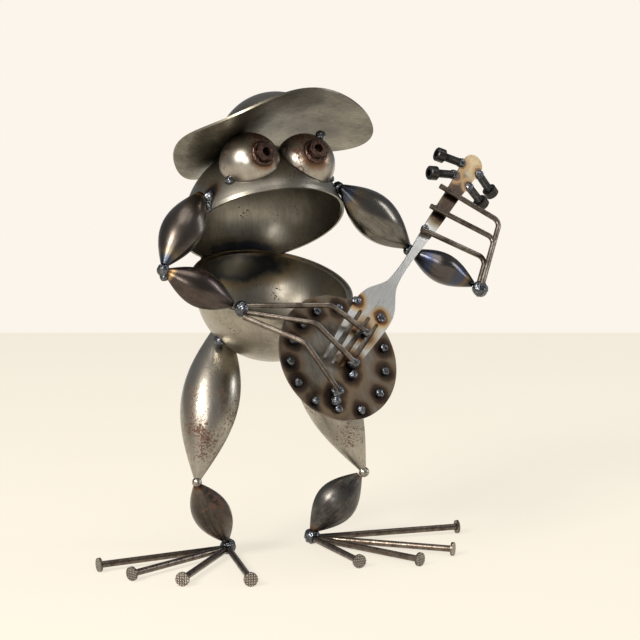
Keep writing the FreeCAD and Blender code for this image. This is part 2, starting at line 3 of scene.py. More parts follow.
import bpy
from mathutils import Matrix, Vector


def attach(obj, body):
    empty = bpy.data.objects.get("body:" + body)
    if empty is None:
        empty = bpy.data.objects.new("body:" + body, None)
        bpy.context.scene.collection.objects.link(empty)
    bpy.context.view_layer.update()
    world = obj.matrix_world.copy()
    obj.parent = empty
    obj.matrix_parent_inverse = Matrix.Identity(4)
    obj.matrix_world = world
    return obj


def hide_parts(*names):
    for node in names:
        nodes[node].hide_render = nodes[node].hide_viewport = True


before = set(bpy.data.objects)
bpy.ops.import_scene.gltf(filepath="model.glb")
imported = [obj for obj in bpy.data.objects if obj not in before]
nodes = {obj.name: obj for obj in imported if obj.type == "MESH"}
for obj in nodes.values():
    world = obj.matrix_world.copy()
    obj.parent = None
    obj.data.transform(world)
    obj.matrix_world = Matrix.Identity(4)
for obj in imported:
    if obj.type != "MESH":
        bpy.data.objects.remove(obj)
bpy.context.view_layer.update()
MM = 0.001

# ---------------------------------------------------------------- camera
# A long lens a little above the figure's middle, off its right-hand side.
# The figure's middle plane stands to one side of the row's origin.
FROG = Vector((-21.64, 11.396, 0)) * MM
AIM = FROG + Vector((31, 0, 134)) * MM
VIEW_TURN = math.radians(-28)
VIEW_LIFT = math.radians(8)
VIEW_FAR = 1.15
VIEW_ANGLE = math.radians(18.49)
towards = Vector((math.sin(VIEW_TURN) * math.cos(VIEW_LIFT), -math.cos(VIEW_TURN) * math.cos(VIEW_LIFT),
                  math.sin(VIEW_LIFT)))
camera = bpy.data.objects.new("camera", bpy.data.cameras.new("camera"))
camera.location = AIM + towards * VIEW_FAR
camera.rotation_euler = (math.radians(90) - VIEW_LIFT, 0, VIEW_TURN)
camera.data.angle = VIEW_ANGLE
camera.data.clip_start = 0.05
bpy.context.scene.collection.objects.link(camera)
bpy.context.scene.camera = camera
bpy.context.scene.view_settings.view_transform = "Standard"


def frog(x, y, z):
    """A point in metres, from millimetres off the figure's middle plane, its body's centre and the floor."""
    return FROG + Vector((x, y, z)) * MM


# ---------------------------------------------------------------- table and wall
# A pale matt table top with its back edge behind the figure, and a paler wall past that edge. Both are bright
# of themselves, so that only a soft part of the figure's shadow shows.
TABLE_WIDE = 12
BACK_EDGE_START, BACK_EDGE_END = 0.868, 0.880
TABLE = (0.20, 0.187, 0.160, 1)
TABLE_GLOW = (0.735, 0.68, 0.585, 1)
WALL = (0.970, 0.912, 0.832, 1)
ROOM_LIGHT = (0.80, 0.82, 0.86, 1)
LAMP_TINT = (1.0, 0.96, 0.90)
COOL_TINT = (0.95, 0.98, 1.0)
bpy.ops.object.select_all(action="DESELECT")


def new_material(name):
    """A node material with its Principled shader."""
    made = bpy.data.materials.new(name)
    made.use_nodes = True
    return made, made.node_tree, made.node_tree.nodes["Principled BSDF"]


def node(tree, kind, place=(0, 0), **settings):
    """A shader node; settings are its properties, or its inputs by name in a dictionary called inputs."""
    made = tree.nodes.new(kind)
    made.location = place
    for name, value in settings.pop("inputs", {}).items():
        made.inputs[name].default_value = value
    for name, value in settings.items():
        setattr(made, name, value)
    return made


bpy.ops.mesh.primitive_plane_add(size=TABLE_WIDE, location=(0, 0, 0))
table = bpy.context.active_object
table.name = "table_top"
table_paint, tree, shader = new_material("pale_table")
shader.inputs["Roughness"].default_value = 0.62
shader.inputs["Specular IOR Level"].default_value = 0.0
spot = node(tree, "ShaderNodeTexCoord", (-1400, 0))
turned_back = node(tree, "ShaderNodeVectorMath", (-1200, 0), operation="DOT_PRODUCT")
turned_back.inputs[1].default_value = (-math.sin(VIEW_TURN), math.cos(VIEW_TURN), 0)
tree.links.new(spot.outputs["Object"], turned_back.inputs[0])
edge = node(tree, "ShaderNodeMapRange", (-1000, 0),
            inputs={"From Min": BACK_EDGE_START, "From Max": BACK_EDGE_END})
tree.links.new(turned_back.outputs["Value"], edge.inputs["Value"])
paint = node(tree, "ShaderNodeMix", (-400, 100), data_type="RGBA")
paint.inputs["A"].default_value = TABLE
paint.inputs["B"].default_value = (0, 0, 0, 1)
tree.links.new(edge.outputs["Result"], paint.inputs["Factor"])
tree.links.new(paint.outputs["Result"], shader.inputs["Base Color"])
glow = node(tree, "ShaderNodeMix", (-400, -200), data_type="RGBA")
glow.inputs["A"].default_value = TABLE_GLOW
glow.inputs["B"].default_value = WALL
tree.links.new(edge.outputs["Result"], glow.inputs["Factor"])
tree.links.new(glow.outputs["Result"], shader.inputs["Emission Color"])
shader.inputs["Emission Strength"].default_value = 1.0
table.data.materials.append(table_paint)

world = bpy.data.worlds.new("room")
bpy.context.scene.world = world
world.use_nodes = True
room = world.node_tree
for old in list(room.nodes):
    room.nodes.remove(old)
path = node(room, "ShaderNodeLightPath", (-600, 200))
seen = node(room, "ShaderNodeBackground", (-300, 100), inputs={"Color": WALL, "Strength": 1.0})
dim = node(room, "ShaderNodeBackground", (-300, -100), inputs={"Color": ROOM_LIGHT, "Strength": 0.30})
pick = node(room, "ShaderNodeMixShader", (0, 0))
out = node(room, "ShaderNodeOutputWorld", (200, 0))
room.links.new(path.outputs["Is Camera Ray"], pick.inputs["Fac"])
room.links.new(dim.outputs[0], pick.inputs[1])
room.links.new(seen.outputs[0], pick.inputs[2])
room.links.new(pick.outputs[0], out.inputs["Surface"])


def soft_box(name, turn, lift, far, wide, tall, watts, colour=LAMP_TINT):
    """A soft studio light: turn and lift in degrees from the figure's front, aimed at its middle."""
    lamp = bpy.data.objects.new(name, bpy.data.lights.new(name, "AREA"))
    lamp.data.shape = "RECTANGLE"
    lamp.data.size, lamp.data.size_y = wide, tall
    lamp.data.energy = watts
    lamp.data.color = colour
    turn, lift = math.radians(turn), math.radians(lift)
    away = Vector((math.sin(turn) * math.cos(lift), -math.cos(turn) * math.cos(lift), math.sin(lift)))
    lamp.location = AIM + away * far
    lamp.rotation_euler = away.to_track_quat("Z", "Y").to_euler()
    bpy.context.scene.collection.objects.link(lamp)
    return lamp


soft_box("key_light", -68, 30, 1.7, 0.5, 0.5, 30)
soft_box("front_light", -42, 17, 2.2, 0.4, 0.5, 9)
soft_box("top_light", -30, 82, 1.6, 1.2, 1.2, 13)
soft_box("right_light", 66, 24, 1.9, 0.35, 1.2, 9, COOL_TINT)

# ---------------------------------------------------------------- drawn steel, shared by the pressed parts
# The figure is bare mild steel under a clear lacquer. Drawing and brushing leave a fine grain, the sheet is
# mottled and pitted, and welding leaves straw, brown and blue heat marks.


def group_tree(name, inputs, outputs):
    """An empty shader node group with its sockets: (name, socket type, default)."""
    made = bpy.data.node_groups.new(name, "ShaderNodeTree")
    for socket, kind, default in inputs:
        item = made.interface.new_socket(socket, in_out="INPUT", socket_type=kind)
        item.default_value = default
    for socket, kind in outputs:
        made.interface.new_socket(socket, in_out="OUTPUT", socket_type=kind)
    way_in = made.nodes.new("NodeGroupInput")
    way_in.location = (-1400, 0)
    way_out = made.nodes.new("NodeGroupOutput")
    way_out.location = (900, 0)
    return made, way_in, way_out


FLOAT, COLOUR, VECTOR = "NodeSocketFloat", "NodeSocketColor", "NodeSocketVector"

# drawn steel: a light and a dark tone, broken up by cloudy mottling, fine grain and black pits
drawn_steel, given, result = group_tree(
    "drawn_steel",
    [("Vector", VECTOR, (0, 0, 0)), ("Light", COLOUR, (0.5, 0.46, 0.4, 1)),
     ("Dark", COLOUR, (0.2, 0.18, 0.15, 1)), ("Cloud Size", FLOAT, 90.0), ("Cloud", FLOAT, 0.5),
     ("Grain Size", FLOAT, 700.0), ("Grain", FLOAT, 0.4), ("Stretch", VECTOR, (1.0, 1.0, 0.06)),
     ("Pits", FLOAT, 0.5), ("Smooth", FLOAT, 0.28)],
    [("Color", COLOUR), ("Roughness", FLOAT), ("Height", FLOAT)])
cloud = node(drawn_steel, "ShaderNodeTexNoise", (-1000, 300), inputs={"Detail": 5.0, "Roughness": 0.62})
drawn_steel.links.new(given.outputs["Vector"], cloud.inputs["Vector"])
drawn_steel.links.new(given.outputs["Cloud Size"], cloud.inputs["Scale"])
cloud_curve = node(drawn_steel, "ShaderNodeMapRange", (-800, 300),
                   inputs={"From Min": 0.32, "From Max": 0.68})
drawn_steel.links.new(cloud.outputs["Fac"], cloud_curve.inputs["Value"])
stretched = node(drawn_steel, "ShaderNodeVectorMath", (-1200, -100), operation="MULTIPLY")
drawn_steel.links.new(given.outputs["Vector"], stretched.inputs[0])
drawn_steel.links.new(given.outputs["Stretch"], stretched.inputs[1])
grain = node(drawn_steel, "ShaderNodeTexNoise", (-1000, -100), inputs={"Detail": 4.0, "Roughness": 0.7})
drawn_steel.links.new(stretched.outputs[0], grain.inputs["Vector"])
drawn_steel.links.new(given.outputs["Grain Size"], grain.inputs["Scale"])
grain_curve = node(drawn_steel, "ShaderNodeMapRange", (-800, -100),
                   inputs={"From Min": 0.3, "From Max": 0.7})
drawn_steel.links.new(grain.outputs["Fac"], grain_curve.inputs["Value"])


def maths(tree, a, b, place=(0, 0), operation="MULTIPLY"):
    """Two sockets or numbers multiplied, or put together by another operation."""
    made = node(tree, "ShaderNodeMath", place, operation=operation)
    for index, value in enumerate((a, b)):
        if isinstance(value, (int, float)):
            made.inputs[index].default_value = value
        else:
            tree.links.new(value, made.inputs[index])
    return made.outputs[0]


cloud_part = maths(drawn_steel, cloud_curve.outputs[0], given.outputs["Cloud"], (-600, 300))
grain_part = maths(drawn_steel, grain_curve.outputs[0], given.outputs["Grain"], (-600, -100))
dark_share = maths(drawn_steel, cloud_part, grain_part, (-400, 200), "ADD")
tone = node(drawn_steel, "ShaderNodeMix", (-200, 200), data_type="RGBA", clamp_factor=True)
drawn_steel.links.new(dark_share, tone.inputs["Factor"])
drawn_steel.links.new(given.outputs["Light"], tone.inputs["A"])
drawn_steel.links.new(given.outputs["Dark"], tone.inputs["B"])
pit = node(drawn_steel, "ShaderNodeTexVoronoi", (-1000, -400), feature="F1", inputs={"Scale": 560.0})
drawn_steel.links.new(given.outputs["Vector"], pit.inputs["Vector"])
pit_size = node(drawn_steel, "ShaderNodeTexNoise", (-1000, -700), inputs={"Scale": 75.0, "Detail": 2.0})
drawn_steel.links.new(given.outputs["Vector"], pit_size.inputs["Vector"])
pit_where = node(drawn_steel, "ShaderNodeMapRange", (-800, -700),
                 inputs={"From Min": 0.46, "From Max": 0.70, "To Max": 0.34})
drawn_steel.links.new(pit_size.outputs["Fac"], pit_where.inputs["Value"])
pit_reach = maths(drawn_steel, pit_where.outputs[0], given.outputs["Pits"], (-600, -700))
pit_gap = maths(drawn_steel, pit_reach, pit.outputs["Distance"], (-400, -500), "SUBTRACT")
pit_mask = node(drawn_steel, "ShaderNodeMapRange", (-200, -500), inputs={"From Min": 0.0, "From Max": 0.12})
drawn_steel.links.new(pit_gap, pit_mask.inputs["Value"])
pitted = node(drawn_steel, "ShaderNodeMix", (100, 200), data_type="RGBA", clamp_factor=True)
drawn_steel.links.new(pit_mask.outputs[0], pitted.inputs["Factor"])
drawn_steel.links.new(tone.outputs["Result"], pitted.inputs["A"])
pitted.inputs["B"].default_value = (0.035, 0.025, 0.02, 1)
drawn_steel.links.new(pitted.outputs["Result"], result.inputs["Color"])
rough_grain = maths(drawn_steel, grain_curve.outputs[0], 0.10, (0, -100))
rough_cloud = maths(drawn_steel, cloud_part, 0.16, (0, -200))
rough_sum = maths(drawn_steel, rough_grain, rough_cloud, (200, -100), "ADD")
rough_pits = maths(drawn_steel, pit_mask.outputs[0], 0.35, (200, -250))
rough_all = maths(drawn_steel, rough_sum, rough_pits, (400, -150), "ADD")
rough = maths(drawn_steel, rough_all, given.outputs["Smooth"], (600, -100), "ADD")
drawn_steel.links.new(rough, result.inputs["Roughness"])
fine = maths(drawn_steel, grain_part, 0.5, (200, -400))
deep = maths(drawn_steel, pit_mask.outputs[0], -1.4, (200, -550))
relief = maths(drawn_steel, fine, deep, (400, -450), "ADD")
drawn_steel.links.new(relief, result.inputs["Height"])

# rust: dark brown freckles that crowd where Amount is high
rust_group, given, result = group_tree(
    "rust_freckles",
    [("Vector", VECTOR, (0, 0, 0)), ("Color", COLOUR, (0.5, 0.46, 0.4, 1)), ("Roughness", FLOAT, 0.3),
     ("Amount", FLOAT, 0.3), ("Size", FLOAT, 420.0)],
    [("Color", COLOUR), ("Roughness", FLOAT), ("Metallic", FLOAT)])
speck = node(rust_group, "ShaderNodeTexNoise", (-1100, 200), inputs={"Detail": 7.0, "Roughness": 0.72})
rust_group.links.new(given.outputs["Vector"], speck.inputs["Vector"])
rust_group.links.new(given.outputs["Size"], speck.inputs["Scale"])
patch = node(rust_group, "ShaderNodeTexNoise", (-1100, -100), inputs={"Scale": 60.0, "Detail": 3.0})
rust_group.links.new(given.outputs["Vector"], patch.inputs["Vector"])
patch_part = maths(rust_group, patch.outputs["Fac"], 0.55, (-900, -100))
both = maths(rust_group, speck.outputs["Fac"], patch_part, (-700, 100), "ADD")
limit = maths(rust_group, 1.16, given.outputs["Amount"], (-700, -200), "SUBTRACT")
over = maths(rust_group, both, limit, (-500, 0), "SUBTRACT")
rust_mask = node(rust_group, "ShaderNodeMapRange", (-300, 0), inputs={"From Min": 0.0, "From Max": 0.09})
rust_group.links.new(over, rust_mask.inputs["Value"])
rust_tone = node(rust_group, "ShaderNodeMix", (-300, 300), data_type="RGBA")
rust_tone.inputs["A"].default_value = (0.035, 0.016, 0.010, 1)
rust_tone.inputs["B"].default_value = (0.12, 0.045, 0.022, 1)
rust_group.links.new(speck.outputs["Fac"], rust_tone.inputs["Factor"])
rusted = node(rust_group, "ShaderNodeMix", (0, 200), data_type="RGBA")
rust_group.links.new(rust_mask.outputs[0], rusted.inputs["Factor"])
rust_group.links.new(given.outputs["Color"], rusted.inputs["A"])
rust_group.links.new(rust_tone.outputs["Result"], rusted.inputs["B"])
rust_group.links.new(rusted.outputs["Result"], result.inputs["Color"])
rust_rough = node(rust_group, "ShaderNodeMix", (0, -50), data_type="FLOAT")
rust_group.links.new(rust_mask.outputs[0], rust_rough.inputs["Factor"])
rust_group.links.new(given.outputs["Roughness"], rust_rough.inputs["A"])
rust_rough.inputs["B"].default_value = 0.62
rust_group.links.new(rust_rough.outputs["Result"], result.inputs["Roughness"])
rust_metal = node(rust_group, "ShaderNodeMapRange", (0, -250), inputs={"To Min": 1.0, "To Max": 0.35})
rust_group.links.new(rust_mask.outputs[0], rust_metal.inputs["Value"])
rust_group.links.new(rust_metal.outputs[0], result.inputs["Metallic"])

# heat: the colours that a weld leaves, from Near at its edge outwards; the same bands also paint patches of
# shadow and reflection on some parts
heat_and_painted_light_group, given, result = group_tree(
    "heat_and_painted_light_marks",
    [("Color", COLOUR, (0.5, 0.46, 0.4, 1)), ("Vector", VECTOR, (0, 0, 0)), ("Distance", FLOAT, 1.0),
     ("Reach", FLOAT, 0.01), ("Near", COLOUR, (0.012, 0.014, 0.02, 1)),
     ("Middle", COLOUR, (0.10, 0.045, 0.018, 1)), ("Far", COLOUR, (0.42, 0.27, 0.12, 1)),
     ("Amount", FLOAT, 1.0)],
    [("Color", COLOUR)])
wander = node(heat_and_painted_light_group, "ShaderNodeTexNoise", (-1100, -200), inputs={"Scale": 120.0, "Detail": 3.0})
heat_and_painted_light_group.links.new(given.outputs["Vector"], wander.inputs["Vector"])
wobble = node(heat_and_painted_light_group, "ShaderNodeMapRange", (-900, -200), inputs={"To Min": -0.22, "To Max": 0.22})
heat_and_painted_light_group.links.new(wander.outputs["Fac"], wobble.inputs["Value"])
share = maths(heat_and_painted_light_group, given.outputs["Distance"], given.outputs["Reach"], (-900, 0), "DIVIDE")
step = maths(heat_and_painted_light_group, share, wobble.outputs[0], (-700, 0), "ADD")
previous = given.outputs["Color"]
# each band lies inside the one before it: straw outside, then brown, then blue-black at the weld
HEAT_AND_PAINTED_LIGHT_BANDS = (("Far", 1.0, 0.62), ("Middle", 0.68, 0.42), ("Near", 0.46, 0.2))
for index, (band, start, end) in enumerate(HEAT_AND_PAINTED_LIGHT_BANDS):
    inside = node(heat_and_painted_light_group, "ShaderNodeMapRange", (-500, 200 - 200 * index),
                  interpolation_type="SMOOTHSTEP", inputs={"From Min": start, "From Max": end})
    heat_and_painted_light_group.links.new(step, inside.inputs["Value"])
    held = maths(heat_and_painted_light_group, inside.outputs[0], given.outputs["Amount"], (-300, 200 - 200 * index))
    layer = node(heat_and_painted_light_group, "ShaderNodeMix", (-100 + 150 * index, 200), data_type="RGBA")
    heat_and_painted_light_group.links.new(held, layer.inputs["Factor"])
    heat_and_painted_light_group.links.new(previous, layer.inputs["A"])
    heat_and_painted_light_group.links.new(given.outputs[band], layer.inputs["B"])
    previous = layer.outputs["Result"]
heat_and_painted_light_group.links.new(previous, result.inputs["Color"])


def nearest(tree, vector, points, squash=None):
    """The distance in metres from a place to the nearest of some points; squash scales each axis first."""
    best = None
    if squash:
        scaled = node(tree, "ShaderNodeVectorMath", (-1700, -600), operation="MULTIPLY")
        scaled.inputs[1].default_value = squash
        tree.links.new(vector, scaled.inputs[0])
        vector = scaled.outputs[0]
    for index, point in enumerate(points):
        gap = node(tree, "ShaderNodeVectorMath", (-1500, -600 - 160 * index), operation="DISTANCE")
        tree.links.new(vector, gap.inputs[0])
        gap.inputs[1].default_value = [a * b for a, b in zip(point, squash or (1, 1, 1))]
        best = gap.outputs["Value"] if best is None else maths(tree, best, gap.outputs["Value"],
                                                               (-1200, -600 - 160 * index), "MINIMUM")
    return best


GRAIN_DEEP, LACQUER_ROUGH = 0.0002, 0.18


def steel(name, light, dark, smooth=0.28, cloud=0.5, cloud_size=90.0, grain=0.4, grain_size=700.0,
          stretch=(1, 1, 0.06), turn=None, pits=0.5, rust=0.0, rust_size=420.0, rust_more=None, heats_and_painted_light=(),
          bump=0.25, coat=0.25):
    """A steel finish. turn is the direction the grain runs along; rust_more is a list of (point, reach,
    amount) that adds rust near a point; the marks for the heat group are a list of dictionaries with points,
    most of them weld heat tint, some of them painted shadow and painted reflection."""
    made, tree, shader = new_material(name)
    spot = node(tree, "ShaderNodeTexCoord", (-2200, 0))
    place = spot.outputs["Object"]
    grain_place = place
    if turn is not None:
        mapping = node(tree, "ShaderNodeMapping", (-1900, 200))
        upright = Vector(turn).to_track_quat("Z", "Y").inverted()
        mapping.inputs["Rotation"].default_value = upright.to_euler()
        tree.links.new(place, mapping.inputs["Vector"])
        grain_place = mapping.outputs[0]
    base = node(tree, "ShaderNodeGroup", (-1500, 300), node_tree=drawn_steel)
    for socket, value in (("Light", (*light, 1)), ("Dark", (*dark, 1)), ("Cloud Size", cloud_size),
                          ("Cloud", cloud), ("Grain Size", grain_size), ("Grain", grain),
                          ("Stretch", stretch), ("Pits", pits), ("Smooth", smooth)):
        base.inputs[socket].default_value = value
    tree.links.new(grain_place, base.inputs["Vector"])
    colour, rough = base.outputs["Color"], base.outputs["Roughness"]
    for index, mark in enumerate(heats_and_painted_light):
        marks = node(tree, "ShaderNodeGroup", (-900 + 220 * index, 500), node_tree=heat_and_painted_light_group)
        gap = nearest(tree, place, mark["points"], mark.get("squash"))
        tree.links.new(colour, marks.inputs["Color"])
        tree.links.new(place, marks.inputs["Vector"])
        tree.links.new(gap, marks.inputs["Distance"])
        marks.inputs["Reach"].default_value = mark["reach"]
        marks.inputs["Amount"].default_value = mark.get("amount", 1.0)
        for band in ("Near", "Middle", "Far"):
            if band in mark:
                marks.inputs[band].default_value = (*mark[band], 1)
        colour = marks.outputs["Color"]
    if rust > 0 or rust_more:
        freckles = node(tree, "ShaderNodeGroup", (-200, 300), node_tree=rust_group)
        tree.links.new(place, freckles.inputs["Vector"])
        tree.links.new(colour, freckles.inputs["Color"])
        tree.links.new(rough, freckles.inputs["Roughness"])
        freckles.inputs["Amount"].default_value = rust
        freckles.inputs["Size"].default_value = rust_size
        amount = None
        for point, reach, more in rust_more or ():
            gap = nearest(tree, place, [point])
            fade = node(tree, "ShaderNodeMapRange", (-700, -500), interpolation_type="SMOOTHSTEP",
                        inputs={"From Min": reach, "From Max": reach * 0.35, "To Min": rust,
                                "To Max": more})
            tree.links.new(gap, fade.inputs["Value"])
            amount = fade.outputs[0] if amount is None else maths(tree, amount, fade.outputs[0],
                                                                  (-500, -500), "MAXIMUM")
        if amount is not None:
            tree.links.new(amount, freckles.inputs["Amount"])
        colour, rough = freckles.outputs["Color"], freckles.outputs["Roughness"]
        tree.links.new(freckles.outputs["Metallic"], shader.inputs["Metallic"])
    else:
        shader.inputs["Metallic"].default_value = 1.0
    tree.links.new(colour, shader.inputs["Base Color"])
    tree.links.new(rough, shader.inputs["Roughness"])
    raised = node(tree, "ShaderNodeBump", (-100, -300), inputs={"Strength": bump, "Distance": GRAIN_DEEP})
    tree.links.new(base.outputs["Height"], raised.inputs["Height"])
    tree.links.new(raised.outputs["Normal"], shader.inputs["Normal"])
    shader.inputs["Coat Weight"].default_value = coat
    shader.inputs["Coat Roughness"].default_value = LACQUER_ROUGH
    return made


def finish(name, material):
    """Gives a CAD node its finish in every material slot."""
    made = nodes[name]
    if not made.material_slots:
        made.data.materials.append(material)
    for slot in made.material_slots:
        slot.material = material


# ---------------------------------------------------------------- body and head bowls
# Two pressed half-balls with a low band at the rim. They are welded rim to rim at the back. The blue-black
# patch with a straw edge on the inside of both is partly that weld's heat tint and partly painted reflection.
# the body's dark patch: partly weld heat tint, partly painted reflection of the head's dark underside
body_steel = steel("body_steel", (0.44, 0.405, 0.335), (0.15, 0.13, 0.10), smooth=0.27, cloud=0.6,
                   cloud_size=45, grain=0.3, grain_size=1100, stretch=(1, 1, 0.05), pits=0.95, rust=0.14,
                   heats_and_painted_light=[{"points": [frog(-3, 42, 163)], "reach": 0.0165, "squash": (0.30, 0.4, 1.0),
                           "Near": (0.06, 0.058, 0.05), "Middle": (0.025, 0.028, 0.033),
                           "Far": (0.20, 0.155, 0.095)}])
finish("body_bowl", body_steel)
# the head's first dark strip: partly weld heat tint, partly painted reflection of the dark patch below it
head_steel = steel("head_steel", (0.33, 0.305, 0.255), (0.11, 0.10, 0.08), smooth=0.26, cloud=0.6,
                   cloud_size=40, grain=0.3, grain_size=1100, stretch=(1, 1, 0.05), pits=0.95, rust=0.15,
                   heats_and_painted_light=[{"points": [frog(0, 44, 172)], "reach": 0.0105, "squash": (0.27, 0.5, 1.0),
                           "Near": (0.02, 0.026, 0.036), "Middle": (0.03, 0.034, 0.04),
                           "Far": (0.13, 0.11, 0.08)},
                          {"points": [frog(-41, -8, 212), frog(32, -15, 213)], "reach": 0.008,
                           "Middle": (0.06, 0.035, 0.02), "Far": (0.16, 0.12, 0.08)}])
finish("head_bowl", head_steel)

# ---------------------------------------------------------------- eyes
# Two half-balls of pressed steel welded on top of the head. They are polished by wear, with rust freckles
# over their tops and a brown scorch round each nut.
EYE = {"right": frog(-19.6, -11.5, 227.5), "left": frog(13.6, -13.9, 226.3)}
# rust all over, then where it crowds, how far that reaches and how thick it is there
EYE_RUST = {"right": (0.26, (5, -9, 15), 0.015, 0.47), "left": (0.30, (-7, -9, 13), 0.017, 0.48)}
NUT_FOOT = {"right": (1, -17, 6), "left": (0, -16, 7)}
for side, (rust, crowded, reach, thick) in EYE_RUST.items():
    finish(f"eye_{side}", steel(
        f"eye_{side}_steel", (0.44, 0.405, 0.35), (0.15, 0.125, 0.10), smooth=0.23, cloud=0.6, grain=0.25,
        pits=0.8, rust=rust, rust_size=500, rust_more=[(EYE[side] + Vector(crowded) * MM, reach, thick)],
        heats_and_painted_light=[{"points": [EYE[side] + Vector(NUT_FOOT[side]) * MM], "reach": 0.011,
                "Near": (0.05, 0.025, 0.016), "Middle": (0.10, 0.045, 0.022), "Far": (0.2, 0.11, 0.06)}]))

# ---------------------------------------------------------------- hat
# The brim is a bent disc, brushed from side to side, with painted shadow of the eyes on its underside. The
# crown is a pressed cap in darker steel.
finish("hat_brim", steel("brim_steel", (0.33, 0.30, 0.235), (0.085, 0.075, 0.055), smooth=0.28, cloud=0.75,
                         cloud_size=32, grain=0.4, grain_size=600, stretch=(1, 0.05, 1),
                         turn=(0.2, -0.4, 0.9), pits=0.9, rust=0.13,
                         # painted shadow: a darker patch on the brim's underside behind the left eye
                         heats_and_painted_light=[{"points": [frog(22, 4, 240), frog(34, 2, 243)], "reach": 0.020,
                                 "amount": 0.6, "Near": (0.06, 0.052, 0.038),
                                 "Middle": (0.10, 0.088, 0.066), "Far": (0.2, 0.18, 0.14)}]))
finish("hat_crown", steel("crown_steel", (0.22, 0.20, 0.165), (0.09, 0.08, 0.065), smooth=0.28, cloud=0.5,
                          grain=0.2, pits=0.5, rust=0.1))

# ---------------------------------------------------------------- limbs
# Each limb is a pair of pressed almond shells. The thighs are bright with rust low down, the shins and the
# right arm keep their dark mill scale, and the left arm is dark and heat-tinted at its welds.
HIP = {"right": frog(-22, 19.5, 137), "left": frog(22, 19.5, 137)}
KNEE = {"right": frog(-53.3, -10, 48), "left": frog(55.2, -10, 42.7)}
HEEL = {"right": frog(-28.5, 1.2, 7.5), "left": frog(25.8, -0.5, 7.5)}
SHOULDER = {"right": frog(-46.8, -6.0, 211.5), "left": frog(30.0, -22.6, 213.2)}
ELBOW = {"right": frog(-79.6, -26, 171.9), "left": frog(77, -24, 174.9)}
WRIST = {"right": frog(-39.6, -33.5, 150.6), "left": frog(113.4, -39.2, 153.6)}
STRAW_BLUE = {"Near": (0.03, 0.032, 0.04), "Middle": (0.05, 0.06, 0.08), "Far": (0.13, 0.10, 0.065)}


def limb_finish(limb, material):
    """Gives both half shells of a limb their finish."""
    finish(limb + "_front", material)
    finish(limb + "_back", material)


for side in ("right", "left"):
    low = HIP[side].lerp(KNEE[side], 0.72)
    limb_finish(f"{side}_thigh", steel(
        f"{side}_thigh_steel", (0.46, 0.43, 0.37), (0.17, 0.15, 0.12), smooth=0.22, cloud=0.6,
        cloud_size=40, grain=0.3, grain_size=900, turn=KNEE[side] - HIP[side], pits=0.8, rust=0.25,
        rust_size=850, rust_more=[(low + Vector((0, -10, 4)) * MM, 0.034, 0.37),
                                  (low + Vector((-17, -4, 24)) * MM, 0.026, 0.41),
                                  (low + Vector((12, -10, 14)) * MM, 0.022, 0.37)],
        heats_and_painted_light=[{"points": [HIP[side]], "reach": 0.010}]))
    limb_finish(f"{side}_shin", steel(
        f"{side}_shin_steel", (0.14, 0.11, 0.085) if side == "right" else (0.21, 0.20, 0.185),
        (0.04, 0.036, 0.032), smooth=0.27, cloud=0.75, cloud_size=50, grain=0.4,
        turn=HEEL[side] - KNEE[side], pits=0.5, rust=0.34 if side == "right" else 0.2,
        heats_and_painted_light=[{"points": [KNEE[side], HEEL[side]], "reach": 0.008, "Far": (0.13, 0.10, 0.07)}]))
limb_finish("right_upper_arm", steel(
    "right_upper_arm_steel", (0.13, 0.108, 0.09), (0.032, 0.026, 0.022), smooth=0.24, cloud=0.7,
    cloud_size=48, grain=0.4, turn=ELBOW["right"] - SHOULDER["right"], pits=0.45, rust=0.22,
    heats_and_painted_light=[{"points": [ELBOW["right"]], "reach": 0.016, **STRAW_BLUE},
           {"points": [SHOULDER["right"]], "reach": 0.008}]))
limb_finish("right_forearm", steel(
    "right_forearm_steel", (0.10, 0.077, 0.066), (0.028, 0.021, 0.019), smooth=0.22, cloud=0.6,
    cloud_size=48, grain=0.35, turn=WRIST["right"] - ELBOW["right"], pits=0.4, rust=0.30,
    heats_and_painted_light=[{"points": [ELBOW["right"]], "reach": 0.008}]))
limb_finish("left_upper_arm", steel(
    "left_upper_arm_steel", (0.24, 0.22, 0.185), (0.045, 0.038, 0.033), smooth=0.15, cloud=0.65,
    cloud_size=40, grain=0.35, turn=ELBOW["left"] - SHOULDER["left"], pits=0.3, rust=0.12,
    heats_and_painted_light=[{"points": [SHOULDER["left"]], "reach": 0.020, **STRAW_BLUE},
           {"points": [ELBOW["left"]], "reach": 0.013, **STRAW_BLUE}]))
limb_finish("left_forearm", steel(
    "left_forearm_steel", (0.12, 0.105, 0.095), (0.035, 0.03, 0.028), smooth=0.16, cloud=0.6, cloud_size=60,
    grain=0.3, turn=WRIST["left"] - ELBOW["left"], pits=0.25, rust=0.1,
    heats_and_painted_light=[{"points": [ELBOW["left"]], "reach": 0.03, "Near": (0.02, 0.02, 0.024),
            "Middle": (0.035, 0.045, 0.085), "Far": (0.085, 0.075, 0.07)},
           {"points": [WRIST["left"]], "reach": 0.022, "Near": (0.02, 0.02, 0.025),
            "Middle": (0.13, 0.085, 0.04), "Far": (0.05, 0.06, 0.10)}]))

# ---------------------------------------------------------------- banjo disc
# A disc cut from plate, leaning back under the fork. Each weld dot round it has burnt a brown halo into the
# steel, and so have the beads at the finger ends.
DRUM = frog(11, -60, 122)
OUT = Vector((0.0614, -0.8829, 0.4655)).normalized()
ALONG = Vector((0.7345, 0.3557, 0.5779)).normalized()
ACROSS = OUT.cross(ALONG).normalized()


def banjo(along, across, out):
    """A point in metres from millimetres along the neck, across it and out from the disc's face."""
    return DRUM + (ALONG * along + ACROSS * across + OUT * out) * MM


